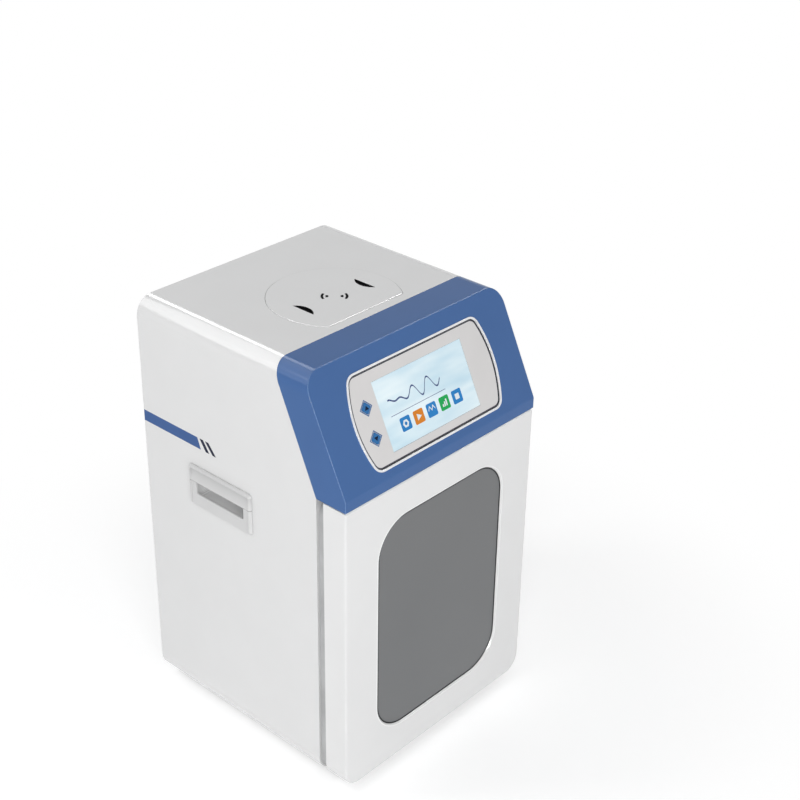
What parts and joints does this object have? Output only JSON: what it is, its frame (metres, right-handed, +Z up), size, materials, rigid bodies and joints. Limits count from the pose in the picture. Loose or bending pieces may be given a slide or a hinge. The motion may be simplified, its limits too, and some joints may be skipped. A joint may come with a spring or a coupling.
{
  "type": "probe sonicator",
  "caption": "Bench probe sonicator: sound cabinet with a windowed door, tilted touch-screen head, ceiling probe over a motor-lifted stage and a round access lid.",
  "frame": {"origin": "centre of the footprint's box, on the bench under the feet", "axes": "+Z up, -Y towards the door, +X to the right as seen from the front"},
  "size_m": [0.344, 0.348, 0.5691],
  "materials": {
    "shell_white": "smooth satin white",
    "door_white": "smooth white",
    "head_blue": "satin blue",
    "panel_grey": "fine matte warm grey",
    "trim_white": "glossy white",
    "screen_face": "lit display under glass",
    "key_blue": "satin blue",
    "handle_grey": "fine matte light grey",
    "foam_grey": "open-cell foam",
    "liner_steel": "perforated, brushed",
    "plate_steel": "brushed",
    "pane_tint": "smoked, polished",
    "rubber_black": "matte",
    "seal_grey": "matte light grey",
    "rod_chrome": "polished",
    "magnet_dark": "dark",
    "housing_aluminium": "turned",
    "titanium": "polished titanium",
    "piezo_ceramic": "fired ceramic",
    "nut_brass": "machined",
    "motor_black": "satin black",
    "lamp_white": "translucent diffuser",
    "board_green": "solder mask",
    "part_dark": "satin",
    "black_plastic": "matte black"
  },
  "bodies": {
    "cabinet": {"cabinet_shell": "shell_white", "front_frame": "shell_white", "base_plate": "plate_steel", "rubber_feet": "rubber_black", "rear_panel": "shell_white", "divider_wall": "plate_steel", "deck_plate": "plate_steel", "head_bulkhead": "plate_steel", "control_head": "head_blue", "panel_trim": "trim_white", "control_panel": "panel_grey", "touch_screen": "screen_face", "control_board": "board_green", "key_switches": "part_dark", "left_handle": "handle_grey", "right_handle": "handle_grey", "sound_foam": "foam_grey", "liner_sheets": "liner_steel", "chamber_floor": "plate_steel", "catch_magnet": "magnet_dark", "hinge_cabinet_leaves": "plate_steel", "hinge_pins": "rod_chrome", "transducer_housing": "housing_aluminium", "front_mass": "housing_aluminium", "piezo_discs": "piezo_ceramic", "back_mass": "plate_steel", "horn": "titanium", "titanium_probe": "titanium", "guide_rods": "rod_chrome", "lift_end_blocks": "housing_aluminium", "lift_motor": "motor_black", "temperature_probe": "plate_steel", "chamber_lamp": "lamp_white", "generator_board": "board_green", "heat_sink": "housing_aluminium", "board_parts": "part_dark", "power_supply": "plate_steel", "fan_frame": "black_plastic", "fan_guard": "rod_chrome", "power_inlet": "black_plastic", "switch_body": "black_plastic"},
    "door": {"door_shell": "door_white", "door_core": "foam_grey", "door_back_panel": "door_white", "window_pane": "pane_tint", "window_gasket": "rubber_black", "door_seal": "seal_grey", "strike_plate": "plate_steel", "hinge_door_leaves": "plate_steel"},
    "raise_key": {"raise_key": "key_blue"},
    "lower_key": {"lower_key": "key_blue"},
    "stage": {"stage_platform": "plate_steel", "stage_carriage": "housing_aluminium", "lift_nut": "nut_brass"},
    "lead_screw": {"lead_screw": "rod_chrome", "shaft_coupling": "housing_aluminium"},
    "fan_rotor": {"fan_rotor": "black_plastic"},
    "power_rocker": {"power_rocker": "black_plastic"},
    "top_lid": {"top_lid": "shell_white"}
  },
  "joints": [
    {"name": "door_hinge", "type": "hinge", "parent": "cabinet", "child": "door", "pos_m": [0.1638, -0.13295, 0.214], "axis": [0, 0, 1], "range_deg": [0, 100]},
    {"name": "raise_key_press", "type": "slide", "parent": "cabinet", "child": "raise_key", "axis": [0, 0.901, -0.4339], "range_m": [0, 0.0006], "stiffness_N_per_m": 400, "springref_m": -0.0004},
    {"name": "lower_key_press", "type": "slide", "parent": "cabinet", "child": "lower_key", "axis": [0, 0.901, -0.4339], "range_m": [0, 0.0006], "stiffness_N_per_m": 400, "springref_m": -0.0004},
    {"name": "stage_lift", "type": "slide", "parent": "cabinet", "child": "stage", "axis": [0, 0, 1], "range_m": [0, 0.12]},
    {"name": "screw_turn", "type": "hinge", "parent": "cabinet", "child": "lead_screw", "pos_m": [0, 0.08195, 0.212], "axis": [0, 0, 1], "range_deg": [-5400, 0]},
    {"name": "fan_spin", "type": "hinge", "parent": "cabinet", "child": "fan_rotor", "pos_m": [0.06, 0.15205, 0.482], "axis": [0, 1, 0], "continuous": true},
    {"name": "rocker_tilt", "type": "hinge", "parent": "cabinet", "child": "power_rocker", "pos_m": [0.055, 0.16195, 0.082], "axis": [1, 0, 0], "range_deg": [0, 20]},
    {"name": "lid_lift", "type": "slide", "parent": "cabinet", "child": "top_lid", "axis": [0, 0, 1], "range_m": [0, 0.08]}
  ],
  "couplings": [
    {"joint": "screw_turn", "follows": "stage_lift", "rad_per_m": -785.4}
  ]
}
